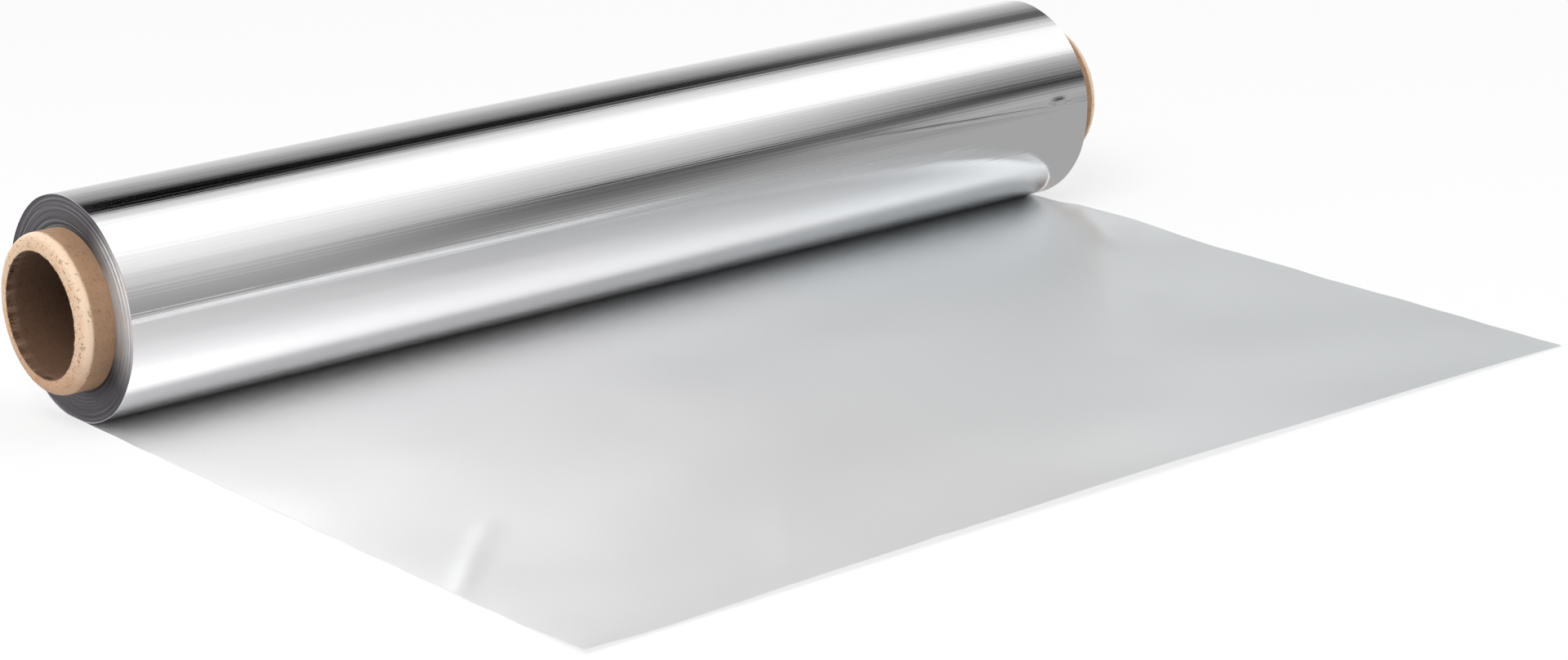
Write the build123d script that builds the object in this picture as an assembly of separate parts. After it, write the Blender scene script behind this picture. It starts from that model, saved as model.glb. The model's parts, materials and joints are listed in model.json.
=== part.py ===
from build123d import *
import os
from math import cos, radians, sin, sqrt

# Catering roll of aluminium foil on a cardboard core, lying on a table with its free end pulled out.
# Millimetres, +Z up. The origin is on the table, under the roll's axis and half way along the foil.
# +X runs along the roll, and the free end lies towards -Y.

# Foil web
foil_width = 300.0          # width of the web, and length of the wound part
foil_thickness = 0.016      # one layer of foil
roll_diameter = 53.5        # outside of the wound turns
free_length = 190.0         # flat free end, from under the roll's axis to its cut edge
flat_spot_width = 5.0       # width of the flat on which the weight of the soft roll rests

# Cardboard core
core_bore_diameter = 30.0
core_wall = 4.0
core_out_left = 8.0         # how far the core stands out of the turns at -X
core_out_right = 12.0       # how far it stands out at +X
core_edge_radius = 2.6      # rounding of the outer edge of each cut end
core_cut_face = 0.6         # least width of the flat that the rounding leaves on each cut end

# Worked out from the sizes above
roll_radius = roll_diameter / 2
bore_radius = core_bore_diameter / 2
core_radius = bore_radius + core_wall
core_rounding = min(core_edge_radius, core_wall - core_cut_face)
half_width = foil_width / 2
core_length = core_out_left + foil_width + core_out_right
axis_height = sqrt(roll_radius**2 - (flat_spot_width / 2)**2)


def circle_point(angle):
    """Point of the roll's outside, as (y, z), at an angle in degrees up from the front."""
    y = -roll_radius * cos(radians(angle))
    return (y, axis_height + roll_radius * sin(radians(angle)))


def make_foil():
    """The whole web as one solid: the tight turns, with the outermost one running out flat in front."""
    # In the sketch plane the first coordinate is the frame's Y and the second is its Z.
    back_of_flat = (flat_spot_width / 2, 0)
    nip_rise = axis_height - foil_thickness
    nip = (-sqrt(roll_radius**2 - nip_rise**2), foil_thickness)
    top = circle_point(90)
    web_plane = Plane(origin=(-half_width, 0, 0), x_dir=(0, 1, 0), z_dir=(1, 0, 0))
    with BuildPart() as foil:
        with BuildSketch(web_plane):
            with BuildLine():
                ThreePointArc(back_of_flat, circle_point(180), top)
                ThreePointArc(top, circle_point(0), nip)
                Line(nip, (-free_length, foil_thickness))
                Line((-free_length, foil_thickness), (-free_length, 0))
                Line((-free_length, 0), back_of_flat)
            make_face()
            with Locations((0, axis_height)):
                Circle(core_radius, mode=Mode.SUBTRACT)
        extrude(amount=foil_width)
    return foil.part


def make_core():
    """Tube of wound board whose two cut ends are rounded on the outside."""
    left_end = (-half_width - core_out_left, 0, axis_height)
    end_plane = Plane(origin=left_end, x_dir=(0, 1, 0), z_dir=(1, 0, 0))
    with BuildPart() as core:
        with BuildSketch(end_plane):
            Circle(core_radius)
            Circle(bore_radius, mode=Mode.SUBTRACT)
        extrude(amount=core_length)
        round_edges = core.edges().filter_by(GeomType.CIRCLE)
        outer_edges = round_edges.group_by(SortBy.RADIUS)[-1]
        fillet(outer_edges, core_rounding)
    return core.part


os.makedirs("parts", exist_ok=True)
export_step(make_foil(), "parts/foil.step")
export_step(make_core(), "parts/core.step")
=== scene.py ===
"""Kitchen foil roll on a board core, with its free end pulled out flat: surfaces, finishes and studio."""
import json
import math

import bpy
import numpy as np
from mathutils import Matrix, Vector


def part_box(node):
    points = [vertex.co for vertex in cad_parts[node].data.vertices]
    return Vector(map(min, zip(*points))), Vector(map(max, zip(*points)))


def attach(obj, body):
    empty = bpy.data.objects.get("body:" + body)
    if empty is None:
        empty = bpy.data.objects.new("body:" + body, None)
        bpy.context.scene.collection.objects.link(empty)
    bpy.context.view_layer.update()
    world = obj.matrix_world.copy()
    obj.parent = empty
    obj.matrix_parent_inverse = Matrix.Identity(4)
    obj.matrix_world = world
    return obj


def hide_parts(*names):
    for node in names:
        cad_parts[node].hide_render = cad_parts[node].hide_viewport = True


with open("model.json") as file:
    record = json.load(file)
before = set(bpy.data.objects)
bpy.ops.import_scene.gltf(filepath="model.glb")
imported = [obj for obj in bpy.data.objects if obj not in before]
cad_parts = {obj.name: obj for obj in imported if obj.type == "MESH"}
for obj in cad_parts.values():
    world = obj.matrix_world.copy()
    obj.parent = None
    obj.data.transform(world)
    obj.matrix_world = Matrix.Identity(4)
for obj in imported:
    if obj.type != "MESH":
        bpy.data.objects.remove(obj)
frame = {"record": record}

bl_info = {
    "name": "Foil roll",
    "version": (1, 0, 0),
    "blender": (4, 5, 0),
    "location": "View3D > Sidebar > Foil roll",
    "description": "Builds the visible surfaces of a foil roll around its CAD frame",
    "category": "Object",
}

MM = 0.001
BODY = "root"

foil_low, foil_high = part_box("foil")
core_low, core_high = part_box("core")
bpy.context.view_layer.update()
HALF_WIDTH = foil_high[0]
ROLL_RADIUS = foil_high[1]
AXIS_HEIGHT = foil_high[2] - ROLL_RADIUS
FREE_LENGTH = -foil_low[1]
CORE_RADIUS = (core_high[2] - core_low[2]) / 2
CORE_LEFT = core_low[0]
CORE_RIGHT = core_high[0]
BORE_RADIUS = next(m for m in frame["record"]["mounts"] if m["name"] == "core_bore")["dims"]["r_mm"] * MM


# ---------------------------------------------------------------- settings

class FoilRollSizes(bpy.types.PropertyGroup):
    """Sizes that a user would change."""
    web_thickness: bpy.props.FloatProperty(
        name="Web thickness", description="Thickness that the visible web is given",
        default=0.08 * MM, unit="LENGTH", precision=5)
    tail_lift: bpy.props.FloatProperty(
        name="Front lift", description="How high the middle of the free edge stands off the table",
        default=1.5 * MM, unit="LENGTH", precision=4)
    tail_wave: bpy.props.FloatProperty(
        name="Free end waves", description="Height of the slow waves in the free end",
        default=0.12 * MM, unit="LENGTH", precision=5)
    turn_wave: bpy.props.FloatProperty(
        name="Turn waves", description="Height of the waves along the outermost turn",
        default=0.018 * MM, unit="LENGTH", precision=6)
    edge_scatter: bpy.props.FloatProperty(
        name="Edge scatter", description="How unevenly the layers end at the cut faces of the roll",
        default=0.12 * MM, unit="LENGTH", precision=5)
    core_edge: bpy.props.FloatProperty(
        name="Core edge", description="Rounding of the outer edge of each end of the core",
        default=2.6 * MM, unit="LENGTH", precision=4)
    torn_fibre: bpy.props.FloatProperty(
        name="Torn fibre", description="How far torn paper stands in from the bore's edge",
        default=0.7 * MM, unit="LENGTH", precision=4)


class FoilRollColours(bpy.types.PropertyGroup):
    """Colours and finishes that a user would change."""
    metal: bpy.props.FloatVectorProperty(
        name="Metal", description="Colour of the foil's metal",
        default=(0.89, 0.89, 0.90), subtype="COLOR", min=0, max=1)
    layer_ends: bpy.props.FloatVectorProperty(
        name="Layer ends", description="Colour of the cut faces of the roll",
        default=(0.040, 0.037, 0.042), subtype="COLOR", min=0, max=1)
    board: bpy.props.FloatVectorProperty(
        name="Board", description="Colour of the core's outside",
        default=(0.36, 0.215, 0.125), subtype="COLOR", min=0, max=1)
    board_cut: bpy.props.FloatVectorProperty(
        name="Board cut", description="Colour of the core's cut ends",
        default=(0.70, 0.50, 0.34), subtype="COLOR", min=0, max=1)
    # Painted shade: the bore's default colour is set darker than the board's own inner ply, to stand in for
    # the shade inside the hole.
    board_inside: bpy.props.FloatVectorProperty(
        name="Board inside", description="Colour of the core's bore",
        default=(0.085, 0.042, 0.024), subtype="COLOR", min=0, max=1)
    floor: bpy.props.FloatVectorProperty(
        name="Floor", description="Colour of the table",
        default=(0.90, 0.90, 0.90), subtype="COLOR", min=0, max=1)
    bright_roughness: bpy.props.FloatProperty(
        name="Bright face roughness", description="Roughness of the outer, bright face of the web",
        default=0.075, subtype="FACTOR", min=0, max=1)
    satin_roughness: bpy.props.FloatProperty(
        name="Satin face roughness", description="Roughness of the inner, satin face of the web",
        default=0.36, subtype="FACTOR", min=0, max=1)


# ---------------------------------------------------------------- shader maths

class Value:
    """A number in a shader. Python's arithmetic on it adds Math nodes."""

    def __init__(self, shader, socket):
        self.shader = shader
        self.socket = socket

    def __add__(self, other):
        return self.shader.math("ADD", self, other)

    def __sub__(self, other):
        return self.shader.math("SUBTRACT", self, other)

    def __rsub__(self, other):
        return self.shader.math("SUBTRACT", other, self)

    def __mul__(self, other):
        return self.shader.math("MULTIPLY", self, other)

    def __truediv__(self, other):
        return self.shader.math("DIVIDE", self, other)

    __radd__ = __add__
    __rmul__ = __mul__


class Shader:
    """Builds one material's nodes."""

    def __init__(self, name):
        self.material = bpy.data.materials.new(name)
        self.material.use_nodes = True
        self.nodes = self.material.node_tree.nodes
        self.links = self.material.node_tree.links
        self.nodes.clear()
        self.output = self.nodes.new("ShaderNodeOutputMaterial")

    def node(self, kind, settings=None, inputs=None):
        """Any node: its type, its settings, and the values or links of its sockets."""
        made = self.nodes.new("ShaderNode" + kind)
        for name, value in (settings or {}).items():
            setattr(made, name, value)
        for name, value in (inputs or {}).items():
            self.plug(made.inputs[name], value)
        return made

    def plug(self, socket, value):
        source = value.socket if isinstance(value, Value) else value
        if isinstance(source, bpy.types.NodeSocket):
            self.links.new(source, socket)
        else:
            socket.default_value = source

    def math(self, operation, *terms):
        inputs = dict(enumerate(terms))
        return Value(self, self.node("Math", {"operation": operation}, inputs).outputs[0])

    def place(self):
        """Object coordinates, as a vector and as x, y and z."""
        vector = self.node("TexCoord").outputs["Object"]
        parts = self.node("SeparateXYZ", inputs={0: vector}).outputs
        return vector, [Value(self, part) for part in parts]

    def vector(self, x, y, z):
        return self.node("CombineXYZ", inputs={0: x, 1: y, 2: z}).outputs[0]

    def noise(self, vector, scale, detail=2.0, roughness=0.5):
        inputs = {"Vector": vector, "Scale": scale, "Detail": detail, "Roughness": roughness}
        return Value(self, self.node("TexNoise", inputs=inputs).outputs[0])

    def rise(self, value, low, high):
        """0 below low, 1 above high and smooth between."""
        inputs = {"Value": value, "From Min": low, "From Max": high}
        return Value(self, self.node("MapRange", {"interpolation_type": "SMOOTHSTEP"}, inputs).outputs[0])

    def mix(self, factor, first, second):
        """Colour from first to second as factor goes from 0 to 1."""
        inputs = {0: factor, 6: self.colour(first), 7: self.colour(second)}
        return self.node("Mix", {"data_type": "RGBA"}, inputs).outputs[2]

    def colour(self, value):
        return (*value, 1.0) if isinstance(value, (tuple, list)) and len(value) == 3 else value

    def ramp(self, value, stops):
        """Colour ramp through (position, grey level) stops."""
        made = self.node("ValToRGB", inputs={"Fac": value})
        elements = made.color_ramp.elements
        while len(elements) < len(stops):
            elements.new(1.0)
        for element, (position, level) in zip(elements, stops):
            element.position = position
            element.color = (*level, 1.0) if isinstance(level, tuple) else (level, level, level, 1.0)
        return made.outputs["Color"]

    def bump(self, height, distance, strength=1.0, normal=None):
        inputs = {"Height": height, "Distance": distance, "Strength": strength}
        if normal is not None:
            inputs["Normal"] = normal
        return self.node("Bump", inputs=inputs).outputs[0]

    def finish(self, **inputs):
        """Ends the material in a Principled surface."""
        named = {name.replace("_", " "): self.colour(value) for name, value in inputs.items()}
        surface = self.node("BsdfPrincipled", inputs=named)
        self.links.new(surface.outputs[0], self.output.inputs["Surface"])
        return self.material


class WorldShader(Shader):
    """Builds the world's nodes."""

    def __init__(self, world):
        world.use_nodes = True
        self.nodes = world.node_tree.nodes
        self.links = world.node_tree.links
        self.nodes.clear()
        self.output = self.nodes.new("ShaderNodeOutputWorld")


# ---------------------------------------------------------------- modelling helpers

def start_clean():
    """Object mode with nothing selected."""
    if bpy.context.object and bpy.context.object.mode != "OBJECT":
        bpy.ops.object.mode_set(mode="OBJECT")
    bpy.ops.object.select_all(action="DESELECT")


def new_object(name):
    """Renames the primitive just added and returns it."""
    made = bpy.context.object
    made.name = name
    made.data.name = name
    return made


def read_points(piece):
    points = np.empty(len(piece.data.vertices) * 3)
    piece.data.vertices.foreach_get("co", points)
    return points.reshape(-1, 3)


def write_points(piece, points):
    piece.data.vertices.foreach_set("co", points.ravel())
    piece.data.update()


def waves(first, second, seed, count, long_first, long_second):
    """Smooth uneven surface from -1 to 1 or so: a sum of waves with those longest lengths."""
    random = np.random.default_rng(seed)
    total = np.zeros(np.broadcast(first, second).shape)
    for _ in range(count):
        stretch = random.uniform(0.35, 1.0, 2)
        phase = random.uniform(0, 2 * math.pi, 2)
        across = first / (long_first * stretch[0]) * 2 * math.pi
        along = second / (long_second * stretch[1]) * 2 * math.pi
        total += np.sin(across + phase[0]) * np.sin(along + phase[1])
        total += 0.5 * np.sin(across + along + phase[1])
    return total / math.sqrt(count)


def lathe(name, outline, steps):
    """Turns a closed outline of (x, radius) points round the roll's axis."""
    start_clean()
    bpy.ops.mesh.primitive_circle_add(vertices=len(outline), radius=1)
    piece = new_object(name)
    points = np.array([(x, 0.0, AXIS_HEIGHT + radius) for x, radius in outline])
    write_points(piece, points)
    bpy.ops.object.mode_set(mode="EDIT")
    bpy.ops.mesh.select_all(action="SELECT")
    bpy.ops.mesh.spin(steps=steps, angle=2 * math.pi, center=(0, 0, AXIS_HEIGHT), axis=(1, 0, 0))
    bpy.ops.mesh.select_all(action="SELECT")
    bpy.ops.mesh.remove_doubles(threshold=0.000001)
    bpy.ops.mesh.normals_make_consistent(inside=False)
    bpy.ops.object.mode_set(mode="OBJECT")
    return piece


def polar(points):
    """Angle round the axis, 0 in front and a quarter turn at the top, and radius."""
    up = points[:, 2] - AXIS_HEIGHT
    return np.arctan2(up, -points[:, 1]), np.hypot(points[:, 1], up)


def place_round(points, angle, radius):
    points[:, 1] = -radius * np.cos(angle)
    points[:, 2] = AXIS_HEIGHT + radius * np.sin(angle)


def shade_smooth(piece, angle):
    start_clean()
    piece.select_set(True)
    bpy.context.view_layer.objects.active = piece
    bpy.ops.object.shade_smooth_by_angle(angle=math.radians(angle))


def settle(piece, node):
    """Puts the piece on the body it rides on and hides the CAD part that it stands for."""
    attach(piece, BODY)
    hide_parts(node)


# ---------------------------------------------------------------- materials

def angle_up(shader, y, z):
    """Degrees round the axis in a shader: 0 in front, 90 at the top."""
    up = z - AXIS_HEIGHT
    return shader.math("ARCTAN2", up, 0.0 - y) * (180 / math.pi)


def bright_foil(colours):
    """Rolled bright face: a soft mirror with fine streaks along the roll."""
    shader = Shader("bright_foil")
    _, (x, y, z) = shader.place()
    turn = angle_up(shader, y, z)
    fine = shader.noise(shader.vector(x * 2.5, turn * 0.9, 0.0), 1.0, 3.0, 0.6)
    broad = shader.noise(shader.vector(x * 6.0, turn * 0.12, 3.0), 1.0, 2.0, 0.5)
    grain = shader.noise(shader.vector(x * 900, y * 900, z * 900), 1.0, 2.0, 0.5)
    rough = colours.bright_roughness + (fine - 0.5) * 0.05 + (broad - 0.5) * 0.06
    normal = shader.bump(fine * 0.7 + broad * 0.3, 0.00004)
    normal = shader.bump(grain, 0.000004, normal=normal)
    tint = shader.mix(broad, tuple(c * 0.95 for c in colours.metal), tuple(colours.metal))
    return shader.finish(Base_Color=tint, Metallic=1.0, Roughness=rough, Normal=normal)


def satin_foil(colours):
    """Satin face: softer, with faint rolling lines, and a painted reflection that makes it darker and cooler
    towards the right.
    """
    shader = Shader("satin_foil")
    _, (x, y, _) = shader.place()
    lines = shader.noise(shader.vector(x * 260, y * 6, 0.0), 1.0, 3.0, 0.6)
    clouds = shader.noise(shader.vector(x * 14, y * 14, 1.0), 1.0, 3.0, 0.5)
    grain = shader.noise(shader.vector(x * 1400, y * 1400, 0.0), 1.0, 2.0, 0.5)
    rough = colours.satin_roughness + (clouds - 0.5) * 0.12 + (lines - 0.5) * 0.04
    normal = shader.bump(lines * 0.5 + clouds * 0.5, 0.00003)
    normal = shader.bump(grain, 0.000005, normal=normal)
    tint = shader.mix(clouds, (0.92, 0.92, 0.935), (0.94, 0.94, 0.93))
    # Painted reflection: the base colour turns darker and bluer towards the right, standing in for the grey
    # that the satin face reflects there.
    tint = shader.mix(shader.rise(x, -40 * MM, 110 * MM), tint, (0.86, 0.885, 0.895))
    return shader.finish(Base_Color=tint, Metallic=0.78, Roughness=rough, Normal=normal)


def layer_ends(colours):
    """Cut face of the roll: hundreds of foil edges, dark, with a painted highlight in the base colour that
    fans out.
    """
    shader = Shader("layer_ends")
    _, (x, y, z) = shader.place()
    up = z - AXIS_HEIGHT
    radius = shader.math("SQRT", y * y + up * up)
    rings = shader.noise(shader.vector(radius * 9000, 0.0, 0.0), 1.0, 2.0, 0.7)
    bands = shader.noise(shader.vector(radius * 1100, 4.0, 0.0), 1.0, 2.0, 0.5)
    turn = angle_up(shader, y, z)
    patch = shader.noise(shader.vector(radius * 120, turn * 0.05, 2.0), 1.0, 3.0, 0.6)
    # Painted highlight: a pale fan of base colour a little above the front of each cut face, standing in for
    # the sheen that the foil edges catch.
    painted_highlight_offset = shader.math("ABSOLUTE", turn - 12.0)
    painted_highlight_fan = 1.0 - shader.rise(painted_highlight_offset + patch * 18.0, 14.0, 62.0)
    base = shader.mix(bands * 0.6 + rings * 0.4, tuple(c * 0.8 for c in colours.layer_ends),
                      tuple(c * 1.35 for c in colours.layer_ends))
    # The painted highlight fan is mixed into the base colour here.
    lit = shader.mix(painted_highlight_fan * (0.60 + rings * 0.5), base, (0.62, 0.62, 0.63))
    normal = shader.bump(rings * 0.6 + bands * 0.4, 0.00008)
    return shader.finish(Base_Color=lit, Metallic=0.75, Roughness=0.42 + patch * 0.1, Normal=normal)


def board(colours):
    """Wound board: brown plies, pale speckled cut ends and a dark bore, whose colour carries painted shade.
    """
    shader = Shader("board")
    place, (x, y, z) = shader.place()
    up = z - AXIS_HEIGHT
    radius = shader.math("SQRT", y * y + up * up)
    fibre = shader.noise(place, 900.0, 4.0, 0.65)
    blotch = shader.noise(place, 170.0, 3.0, 0.6)
    specks = shader.rise(shader.noise(place, 1500.0, 2.0, 0.5), 0.585, 0.66)
    spots = shader.rise(shader.noise(place, 620.0, 1.0, 0.5), 0.66, 0.72)
    inside = 1.0 - shader.rise(radius, BORE_RADIUS - 0.1 * MM, BORE_RADIUS + 0.35 * MM)
    from_left = x - CORE_LEFT
    from_right = CORE_RIGHT - x
    nearest = shader.math("MINIMUM", from_left, from_right)
    cut = 1.0 - shader.rise(nearest + (blotch - 0.5) * 0.0006, 2.0 * MM, 3.0 * MM)
    # Mask of the rounded outer edge of each cut end, which carries a painted highlight below.
    edge = shader.rise(radius, CORE_RADIUS - 1.5 * MM, CORE_RADIUS - 0.4 * MM) * cut
    ply = shader.math("SINE", radius * (2 * math.pi / (0.55 * MM)) + blotch * 7.0) * 0.5 + 0.5
    side = shader.mix(blotch, tuple(c * 0.78 for c in colours.board), tuple(c * 1.22 for c in colours.board))
    side = shader.mix(fibre * 0.5, side, tuple(c * 0.7 for c in colours.board))
    orange = shader.rise(blotch, 0.55, 0.72) * (1.0 - edge)
    pale = shader.mix(orange * 0.6, tuple(colours.board_cut), (0.62, 0.33, 0.16))
    pale = shader.mix(ply * (1.0 - edge) * 0.22, pale, (0.40, 0.24, 0.14))
    # The cut end's pale fibre is its own colour; the extra paleness on the rounded outer edge is a painted
    # highlight for the light that falls on the rounding.
    pale = shader.mix(edge * 0.55, pale, (0.80, 0.62, 0.47))
    outer = shader.mix(cut, side, pale)
    marked = shader.mix(specks * (0.30 + 0.35 * cut) * (1.0 - edge * 0.85), outer, (0.16, 0.085, 0.05))
    marked = shader.mix(spots * 0.5, marked, (0.20, 0.12, 0.07))
    # Darker, browner colour in blotches towards the bottom of each cut end.
    darker_low_down = shader.rise(0.0 - up, 4 * MM, 15 * MM) * cut
    marked = shader.mix(darker_low_down * (0.35 + blotch * 0.5), marked, (0.42, 0.22, 0.12))
    # Painted shade: the bore is much darker than the board outside, partly its own darker inner ply and
    # partly painted shade for the hole.
    bore = shader.mix(fibre, tuple(c * 0.55 for c in colours.board_inside),
                      tuple(c * 1.5 for c in colours.board_inside))
    colour = shader.mix(inside, marked, bore)
    normal = shader.bump(fibre * 0.7 + specks * -0.5 + blotch * 0.6, 0.00025, strength=0.6)
    return shader.finish(Base_Color=colour, Roughness=0.82 - edge * 0.15, Normal=normal)


# ---------------------------------------------------------------- the core

def core_outline(edge):
    """Half section of the tube, as (x, radius) points: bore, flat cut, rounded edge and outside."""
    arc_steps = 7
    end_flat = [BORE_RADIUS + share * (CORE_RADIUS - edge - BORE_RADIUS) for share in (0.0, 0.33, 0.66)]
    left = [(CORE_LEFT, radius) for radius in end_flat]
    for step in range(arc_steps + 1):
        turn = step / arc_steps * math.pi / 2
        left.append((CORE_LEFT + edge * (1 - math.sin(math.pi / 2 - turn)),
                     CORE_RADIUS - edge * (1 - math.sin(turn))))
    middle = (CORE_LEFT + CORE_RIGHT) / 2
    near_left = [(CORE_LEFT + depth, CORE_RADIUS) for depth in (4.5 * MM, 6.5 * MM, 9 * MM, 14 * MM)]
    outside = left + near_left
    outside += [(2 * middle - x, radius) for x, radius in reversed(outside)]
    inside_steps = (0.5, 1.2, 2.2, 4, 8, 16, 32, 64, 110)
    bore = [(CORE_LEFT + depth * MM, BORE_RADIUS) for depth in inside_steps]
    return outside + [(2 * middle - x, radius) for x, radius in bore] + list(reversed(bore))


def rough_up_core(core, torn):
    """Board is never quite round: dents at the cut ends, soft plies, and torn paper at the bore's edge."""
    points = read_points(core)
    angle, radius = polar(points)
    end_gap = np.minimum(points[:, 0] - CORE_LEFT, CORE_RIGHT - points[:, 0])
    near_end = np.exp(-end_gap / (1.6 * MM))
    side = np.where(points[:, 0] < 0, 0.0, 3.0)
    dents = waves(angle * ROLL_RADIUS, side * 0.01, 11, 9, 9 * MM, 0.02)
    fine = waves(angle * ROLL_RADIUS, radius, 12, 9, 2.2 * MM, 2.5 * MM)
    radius = radius + near_end * (dents * 0.07 * MM + fine * 0.045 * MM)
    outward = np.where(points[:, 0] < 0, -1.0, 1.0)
    points[:, 0] += outward * near_end * (fine * 0.07 * MM - np.minimum(dents, 0) * 0.05 * MM)
    at_edge = (radius < BORE_RADIUS + 0.4 * MM) & (end_gap < 0.8 * MM)
    turn = np.degrees(angle)
    low_tear = np.exp(-((turn + 82) / 11) ** 2) + 0.8 * np.exp(-((turn - 152) / 12) ** 2)
    low_tear += 0.35 * np.exp(-((turn - 196 + 360) / 20) ** 2)
    shreds = np.maximum(waves(angle * ROLL_RADIUS, side, 13, 8, 1.6 * MM, 5.0), 0) ** 1.2
    radius = radius - at_edge * shreds * low_tear * torn
    place_round(points, angle, radius)
    write_points(core, points)


class FOILROLL_OT_core(bpy.types.Operator):
    """Board tube that the foil is wound on"""
    bl_idname = "foilroll.core"
    bl_label = "Core"

    def execute(self, context):
        sizes = context.scene.foil_roll_sizes
        core = lathe("core_tube", core_outline(sizes.core_edge), 360)
        rough_up_core(core, sizes.torn_fibre)
        shade_smooth(core, 50)
        core.data.materials.append(board(context.scene.foil_roll_colours))
        settle(core, "core")
        return {"FINISHED"}


# ---------------------------------------------------------------- the wound turns

TURN_GAP = 0.12 * MM


class FOILROLL_OT_turns(bpy.types.Operator):
    """Tight turns under the outermost one, with their uneven cut faces"""
    bl_idname = "foilroll.turns"
    bl_label = "Wound turns"

    def execute(self, context):
        sizes = context.scene.foil_roll_sizes
        outer = ROLL_RADIUS - TURN_GAP
        inner = CORE_RADIUS + 0.02 * MM
        rings = 44
        radii = [inner + (outer - inner) * step / rings for step in range(rings + 1)]
        half = HALF_WIDTH - 0.1 * MM
        outline = [(-half, radius) for radius in radii] + [(half, radius) for radius in reversed(radii)]
        turns = lathe("wound_turns", outline, 256)
        points = read_points(turns)
        angle, radius = polar(points)
        layer = waves(radius, angle * 0.004, 21, 14, 1.6 * MM, 0.02)
        cup = ((radius - inner) / (outer - inner) - 0.5) * 0.25 * MM
        points[:, 0] += np.sign(points[:, 0]) * (layer * sizes.edge_scatter * 0.5 - np.abs(cup))
        write_points(turns, points)
        shade_smooth(turns, 40)
        turns.data.materials.append(layer_ends(context.scene.foil_roll_colours))
        settle(turns, "foil")
        return {"FINISHED"}


# ---------------------------------------------------------------- the outermost turn and the free end

NIP_FLAT = math.sqrt(max(ROLL_RADIUS ** 2 - AXIS_HEIGHT ** 2, 0))
LAST_TURN = math.radians(356)
FIRST_TURN = math.asin(NIP_FLAT / ROLL_RADIUS)
WEB_LENGTH = FREE_LENGTH + ROLL_RADIUS * LAST_TURN


def web_rows():
    """Distances along the web from the free edge, closer where the surface turns or creases."""
    rows = list(np.linspace(0, 6 * MM, 7))
    rows += list(np.linspace(6 * MM, FREE_LENGTH - 8 * MM, 86)[1:])
    rows += list(np.linspace(FREE_LENGTH - 8 * MM, FREE_LENGTH + NIP_FLAT, 9)[1:])
    start = rows[-1]
    crease = FREE_LENGTH + ROLL_RADIUS * math.radians(270 - 16)
    crease_end = FREE_LENGTH + ROLL_RADIUS * math.radians(270 - 4)
    rows += list(np.linspace(start, crease, 84)[1:])
    rows += list(np.linspace(crease, crease_end, 20)[1:])
    rows += list(np.linspace(crease_end, WEB_LENGTH, 42)[1:])
    return np.array(rows)


def ridge(x, y, start, end, height, width, sharp=False):
    """Raised line on the flat end from start to end, in millimetres, that fades at both ends."""
    start, end = np.array(start) * MM, np.array(end) * MM
    along = end - start
    length = np.hypot(*along)
    along = along / length
    share = ((x - start[0]) * along[0] + (y - start[1]) * along[1]) / length
    off = (-(x - start[0]) * along[1] + (y - start[1]) * along[0]) / (width * MM)
    profile = np.exp(-np.abs(off)) if sharp else np.exp(-off ** 2)
    fade = np.clip(share * 4 + 0.5, 0, 1) * np.clip((1 - share) * 4 + 0.5, 0, 1)
    return height * MM * profile * fade


def free_end_height(x, y, sizes):
    """Height of the free end over the table: slow waves, a lifted edge, soft folds and small creases."""
    out = -y / FREE_LENGTH
    grow = np.clip(out * 3.0, 0, 1) ** 1.5
    height = sizes.tail_wave * (1.2 + waves(x, y, 31, 7, 170 * MM, 130 * MM)) * grow
    middle = 1 - (x / HALF_WIDTH) ** 2
    height += sizes.tail_lift * middle * np.exp(-((y + FREE_LENGTH) / (34 * MM)) ** 2)
    height += ridge(x, y, (154, -34), (48, -140), 1.5, 12)
    height += ridge(x, y, (151, -22), (126, -60), 0.9, 3.2, sharp=True)
    height += ridge(x, y, (146, -58), (100, -102), 0.5, 5.0)
    height += ridge(x, y, (-120, -118), (-152, -150), 0.55, 1.6, sharp=True)
    height += ridge(x, y, (-56, -138), (-96, -188), 0.30, 2.6, sharp=True)
    height += ridge(x, y, (-28, -160), (-62, -196), 0.26, 2.2, sharp=True)
    height += ridge(x, y, (-40, -60), (40, -150), 0.25, 16)
    corner = np.exp(-(((x + HALF_WIDTH) / (12 * MM)) ** 2 + ((y + FREE_LENGTH) / (12 * MM)) ** 2))
    return np.maximum(height + corner * 0.8 * MM, 0)


def turn_swell(x, angle, sizes):
    """How far the outermost turn stands off a true cylinder, by x and by angle up in degrees."""
    arc = np.radians(angle) * ROLL_RADIUS
    swell = sizes.turn_wave * waves(x, arc, 41, 12, 900 * MM, 14 * MM)
    swell += 2.0 * sizes.turn_wave * waves(x, arc, 42, 5, 400 * MM, 60 * MM)
    line_place = 12.9 - (x / MM - 96) / 52 * 4.4
    on_line = np.exp(-((angle - line_place) / 0.75) ** 2) * np.clip((x / MM - 60) / 36, 0, 1)
    swell += 0.11 * MM * on_line
    crumple_place = np.exp(-((x / MM - 139.6) / 2.0) ** 2) * np.exp(-((angle - 11.6) / 2.0) ** 2)
    swell += 0.35 * MM * crumple_place
    flare = np.clip((x / MM - 126) / 20, 0, 1) * np.exp(-((angle + 38) / 22) ** 2)
    swell += flare * (0.05 + 0.02 * waves(x, arc, 43, 8, 16 * MM, 12 * MM)) * MM
    return swell


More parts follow.
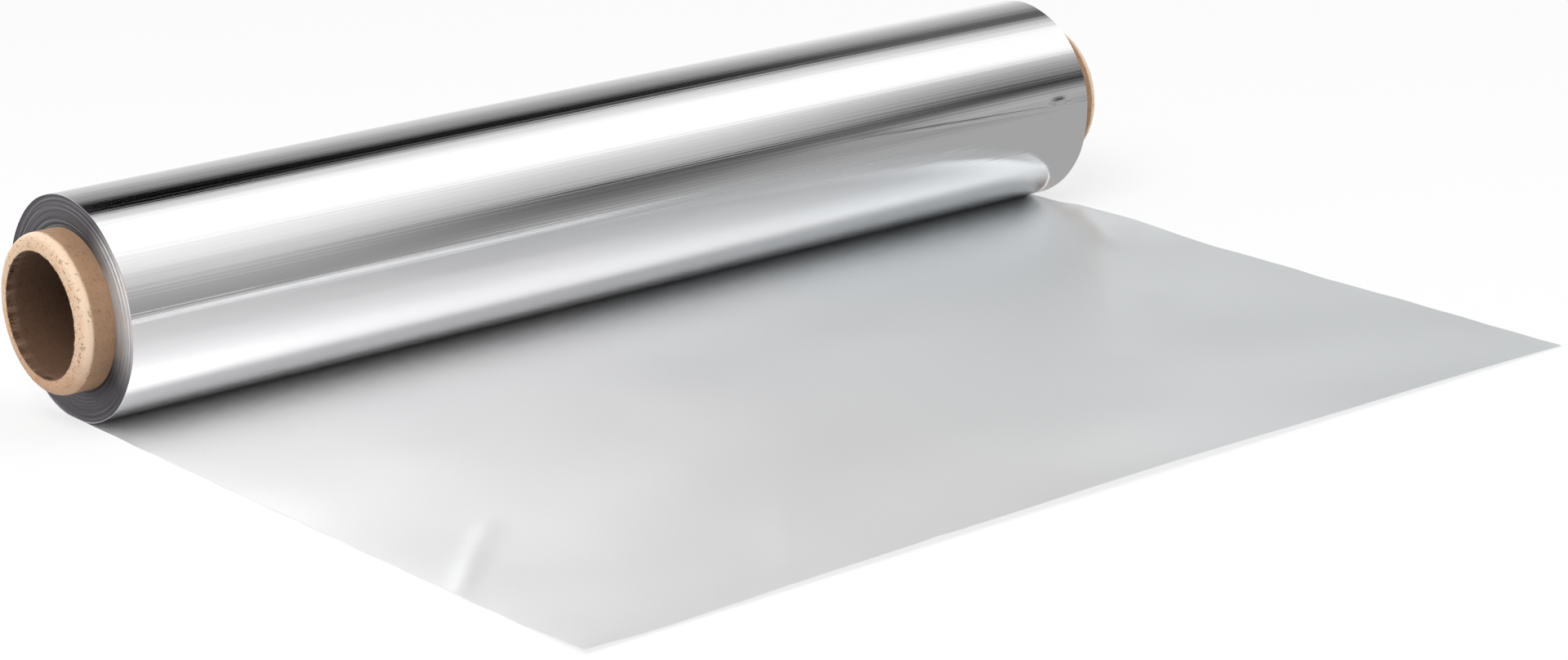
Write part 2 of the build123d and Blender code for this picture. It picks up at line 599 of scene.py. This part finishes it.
class FOILROLL_OT_web(bpy.types.Operator):
    """Outermost turn and flat free end, which are one web"""
    bl_idname = "foilroll.web"
    bl_label = "Free end and outer turn"

    def execute(self, context):
        sizes = context.scene.foil_roll_sizes
        colours = context.scene.foil_roll_colours
        rows = web_rows()
        columns = 158
        start_clean()
        bpy.ops.mesh.primitive_grid_add(x_subdivisions=columns, y_subdivisions=len(rows) - 1, size=2)
        web = new_object("foil_web")
        points = read_points(web)
        x = points[:, 0] * HALF_WIDTH
        row = np.rint((points[:, 1] + 1) / 2 * (len(rows) - 1)).astype(int)
        run = rows[row]
        flat = run <= FREE_LENGTH + NIP_FLAT
        y_flat = run - FREE_LENGTH
        lift = free_end_height(x, np.minimum(y_flat, 0), sizes)
        z_flat = sizes.web_thickness + np.where(y_flat < 0, lift, 0)
        wound = FIRST_TURN + (run - FREE_LENGTH - NIP_FLAT) / ROLL_RADIUS
        angle = -90 - np.degrees(wound)
        angle = (angle + 180) % 360 - 180
        ease = np.clip((np.degrees(wound) - 12) / 20, 0, 1) * np.clip((354 - np.degrees(wound)) / 12, 0, 1)
        radius = ROLL_RADIUS - 0.10 * MM * (wound / (2 * math.pi)) ** 3
        radius = radius + turn_swell(x, angle, sizes) * ease
        points[:, 0] = x
        points[:, 1] = np.where(flat, y_flat, radius * np.sin(wound))
        points[:, 2] = np.where(flat, z_flat, AXIS_HEIGHT - radius * np.cos(wound))
        side = x / HALF_WIDTH
        tilt = np.where(flat, 0.0, 0.5 * MM * np.sin(np.radians(angle))) * np.clip(side * 6 - 5, 0, 1)
        points[:, 0] += tilt + side ** 9 * 0.12 * MM * waves(run, side, 44, 6, 40 * MM, 10)
        write_points(web, points)
        self.check_out(web)
        thick = web.modifiers.new("thickness", "SOLIDIFY")
        thick.thickness = sizes.web_thickness
        thick.offset = -1
        thick.material_offset = 1
        thick.material_offset_rim = 0
        web.data.materials.append(bright_foil(colours))
        web.data.materials.append(satin_foil(colours))
        start_clean()
        web.select_set(True)
        context.view_layer.objects.active = web
        bpy.ops.object.modifier_apply(modifier=thick.name)
        shade_smooth(web, 40)
        settle(web, "foil")
        return {"FINISHED"}

    def check_out(self, web):
        """The bright face looks out from the roll, so it looks down on the free end."""
        top = max(web.data.polygons, key=lambda face: face.center.z)
        if top.normal.z < 0:
            start_clean()
            web.select_set(True)
            bpy.context.view_layer.objects.active = web
            bpy.ops.object.mode_set(mode="EDIT")
            bpy.ops.mesh.select_all(action="SELECT")
            bpy.ops.mesh.flip_normals()
            bpy.ops.object.mode_set(mode="OBJECT")


# ---------------------------------------------------------------- the studio

CAMERA_PLACE = (-0.5845, -0.7557, 0.2902)
CAMERA_TURN = -40.655
CAMERA_DOWN = 17.447
CAMERA_ROLL = -0.184
CAMERA_LENS = 90.18
TENT_RADIUS = 0.42
TENT_HALF = 2.2
SIDE_LIGHT = 4.2

# The grey cloth beside the flat end: where it starts, its width, its depth and its light.
CLOTH_NEAR = 0.151
CLOTH_WIDTH = 0.50
CLOTH_DEPTH = 0.42
CLOTH_LIGHT = 0.42

# Plain colours of the studio, and how much of the table's white shows over its paint.
WHITE = (1, 1, 1, 1)
DIM_WORLD = (0.62, 0.62, 0.63, 1)
FLOOR_WHITE = 0.72
FLOOR_SIZE = 14
LAMP_SIZE = (0.9, 0.9)
KEY_POWER = 14
FILL_POWER = 5

# Light of the tent, as (degrees up from the front, left zone, middle zone, right zone).
TENT_START = -20
TENT_SPAN = 220
TENT_CARDS = [
    (-20, 0.38, 0.36, 0.36), (0, 0.34, 0.34, 0.32), (10, 0.38, 0.19, 0.52), (19, 0.44, 0.14, 0.25),
    (22.5, 0.55, 0.12, 0.13), (24.6, 0.50, 0.002, 0.06), (26.4, 0.70, 0.30, 0.05), (31, 0.66, 0.50, 0.06),
    (36, 0.72, 0.58, 0.22), (42, 0.88, 0.64, 0.34), (48, 0.95, 0.72, 0.44), (56, 0.97, 0.86, 0.70),
    (62, 1.20, 1.20, 1.15), (94, 1.20, 1.20, 1.15), (102, 0.78, 0.86, 0.78), (110, 0.66, 0.76, 0.50),
    (113, 0.01, 0.50, 0.22), (118, 0.003, 0.01, 0.12), (128, 0.003, 0.01, 0.12), (133, 0.19, 0.19, 0.27),
    (140, 0.32, 0.32, 0.42), (147, 0.37, 0.38, 0.50), (160, 0.60, 0.60, 0.68), (176, 0.74, 0.74, 0.92),
    (200, 0.80, 0.80, 0.90),
]


def tent_cloth():
    """Light of the tent by angle round the roll and place along it."""
    shader = Shader("tent_cloth")
    _, (x, y, z) = shader.place()
    turn = angle_up(shader, y, z)
    turn = shader.math("WRAP", turn, 250.0, -110.0)
    share = (turn - TENT_START) / TENT_SPAN
    ramps = []
    for column in (1, 2, 3):
        stops = [((card[0] - TENT_START) / TENT_SPAN, card[column]) for card in TENT_CARDS]
        ramps.append(shader.ramp(share, stops))
    first = shader.rise(x, 0.10, 0.28)
    second = shader.rise(x, 0.30, 0.50)
    colour = shader.mix(second, shader.mix(first, ramps[0], ramps[1]), ramps[2])
    overhead = shader.rise(turn, 50, 72) * (1.0 - shader.rise(turn, 186, 198))
    beside = (1.0 - shader.rise(x, 0.0, 0.07)) * overhead
    colour = shader.mix(beside, colour, (SIDE_LIGHT, SIDE_LIGHT, SIDE_LIGHT))
    light = shader.node("Emission", inputs={"Color": colour, "Strength": 1.0})
    shader.links.new(light.outputs[0], shader.output.inputs["Surface"])
    return shader.material


def reflections_only(piece):
    """Keeps a piece of the studio out of everything but reflections."""
    piece.visible_camera = False
    piece.visible_diffuse = False
    piece.visible_shadow = False
    piece.visible_transmission = False


def add_tent():
    """Tunnel of cloth over the roll that only reflections see."""
    start_clean()
    bpy.ops.mesh.primitive_cylinder_add(
        vertices=256, radius=TENT_RADIUS, depth=2 * TENT_HALF, end_fill_type="NOTHING",
        location=(0, 0, AXIS_HEIGHT), rotation=(0, math.pi / 2, 0))
    bpy.ops.object.transform_apply(location=True, rotation=True)
    tent = new_object("tent")
    tent.data.materials.append(tent_cloth())
    reflections_only(tent)


def add_grey_cloth():
    """Grey cloth on the table beside the flat end, seen only in reflections."""
    start_clean()
    bpy.ops.mesh.primitive_plane_add(size=1, location=(0, 0, -0.00001))
    cloth = new_object("grey_cloth")
    points = read_points(cloth)
    points[:, 0] = CLOTH_NEAR + (points[:, 0] + 0.5) * CLOTH_WIDTH
    points[:, 1] = -CLOTH_DEPTH * (0.5 - points[:, 1])
    write_points(cloth, points)
    shader = Shader("grey_cloth")
    glow = shader.node("Emission", inputs={"Color": WHITE, "Strength": CLOTH_LIGHT})
    shader.links.new(glow.outputs[0], shader.output.inputs["Surface"])
    cloth.data.materials.append(shader.material)
    reflections_only(cloth)


def shows_white(shader):
    """1 for the rays that see the white studio: from the camera, off a gloss or through a glass."""
    path = shader.node("LightPath").outputs
    seen = Value(shader, path["Is Camera Ray"]) + Value(shader, path["Is Glossy Ray"])
    return seen + Value(shader, path["Is Transmission Ray"])


def add_floor(colour):
    start_clean()
    bpy.ops.mesh.primitive_plane_add(size=FLOOR_SIZE, location=(0, 0, -0.00002))
    floor = new_object("floor")
    shader = Shader("floor_paint")
    paint = shader.node("BsdfDiffuse", inputs={"Color": (*colour, 1.0)})
    glow = shader.node("Emission", inputs={"Color": WHITE, "Strength": 1.0})
    shown = shows_white(shader) * FLOOR_WHITE
    both = shader.node("MixShader", inputs={0: shown, 1: paint.outputs[0], 2: glow.outputs[0]})
    shader.links.new(both.outputs[0], shader.output.inputs["Surface"])
    floor.data.materials.append(shader.material)


def add_lamp(name, place, power):
    """Soft square lamp aimed at the origin, which reflections don't see."""
    light = bpy.data.lights.new(name, "AREA")
    light.shape = "RECTANGLE"
    light.size = LAMP_SIZE[0]
    light.size_y = LAMP_SIZE[1]
    light.energy = power
    lamp = bpy.data.objects.new(name, light)
    lamp.location = place
    lamp.rotation_euler = (-Vector(place)).to_track_quat("-Z", "Y").to_euler()
    lamp.visible_glossy = False
    bpy.context.collection.objects.link(lamp)


def set_world():
    world = bpy.data.worlds.new("studio")
    bpy.context.scene.world = world
    shader = WorldShader(world)
    dim = shader.node("Background", inputs={"Color": DIM_WORLD})
    white = shader.node("Background", inputs={"Color": WHITE})
    both = shader.node("MixShader", inputs={0: shows_white(shader), 1: dim.outputs[0], 2: white.outputs[0]})
    shader.links.new(both.outputs[0], shader.output.inputs["Surface"])


def add_camera():
    camera_data = bpy.data.cameras.new("camera")
    camera_data.lens = CAMERA_LENS
    camera_data.sensor_width = 36
    camera_data.clip_start, camera_data.clip_end = 0.05, 60
    camera = bpy.data.objects.new("camera", camera_data)
    bpy.context.collection.objects.link(camera)
    turn = Matrix.Rotation(math.radians(CAMERA_TURN), 3, "Z")
    down = Matrix.Rotation(math.radians(90 - CAMERA_DOWN), 3, "X")
    roll = Matrix.Rotation(math.radians(CAMERA_ROLL), 3, "Z")
    camera.rotation_euler = (turn @ down @ roll).to_euler()
    camera.location = CAMERA_PLACE
    bpy.context.scene.camera = camera


class FOILROLL_OT_studio(bpy.types.Operator):
    """Pale table, soft light, reflecting tent and camera"""
    bl_idname = "foilroll.studio"
    bl_label = "Studio"

    def execute(self, context):
        context.scene.view_settings.view_transform = "Standard"
        set_world()
        add_floor(context.scene.foil_roll_colours.floor)
        add_tent()
        add_grey_cloth()
        add_lamp("key", (-0.9, -0.5, 1.3), KEY_POWER)
        add_lamp("fill", (0.9, -0.9, 1.1), FILL_POWER)
        add_camera()
        return {"FINISHED"}


# ---------------------------------------------------------------- panel and running

class FOILROLL_PT_panel(bpy.types.Panel):
    """Steps of the foil roll"""
    bl_idname = "FOILROLL_PT_panel"
    bl_label = "Foil roll"
    bl_space_type = "VIEW_3D"
    bl_region_type = "UI"
    bl_category = "Foil roll"

    def draw(self, context):
        for operator in OPERATORS:
            self.layout.operator(operator.bl_idname)
        for group in (context.scene.foil_roll_sizes, context.scene.foil_roll_colours):
            for name in group.__annotations__:
                self.layout.prop(group, name)


OPERATORS = (FOILROLL_OT_studio, FOILROLL_OT_core, FOILROLL_OT_turns, FOILROLL_OT_web)
CLASSES = (FoilRollSizes, FoilRollColours, *OPERATORS, FOILROLL_PT_panel)


def register():
    for cls in CLASSES:
        bpy.utils.register_class(cls)
    bpy.types.Scene.foil_roll_sizes = bpy.props.PointerProperty(type=FoilRollSizes)
    bpy.types.Scene.foil_roll_colours = bpy.props.PointerProperty(type=FoilRollColours)


def unregister():
    del bpy.types.Scene.foil_roll_sizes
    del bpy.types.Scene.foil_roll_colours
    for cls in reversed(CLASSES):
        bpy.utils.unregister_class(cls)


def main():
    register()
    bpy.ops.foilroll.studio()
    bpy.ops.foilroll.core()
    bpy.ops.foilroll.turns()
    bpy.ops.foilroll.web()


if __name__ == "__main__":
    main()
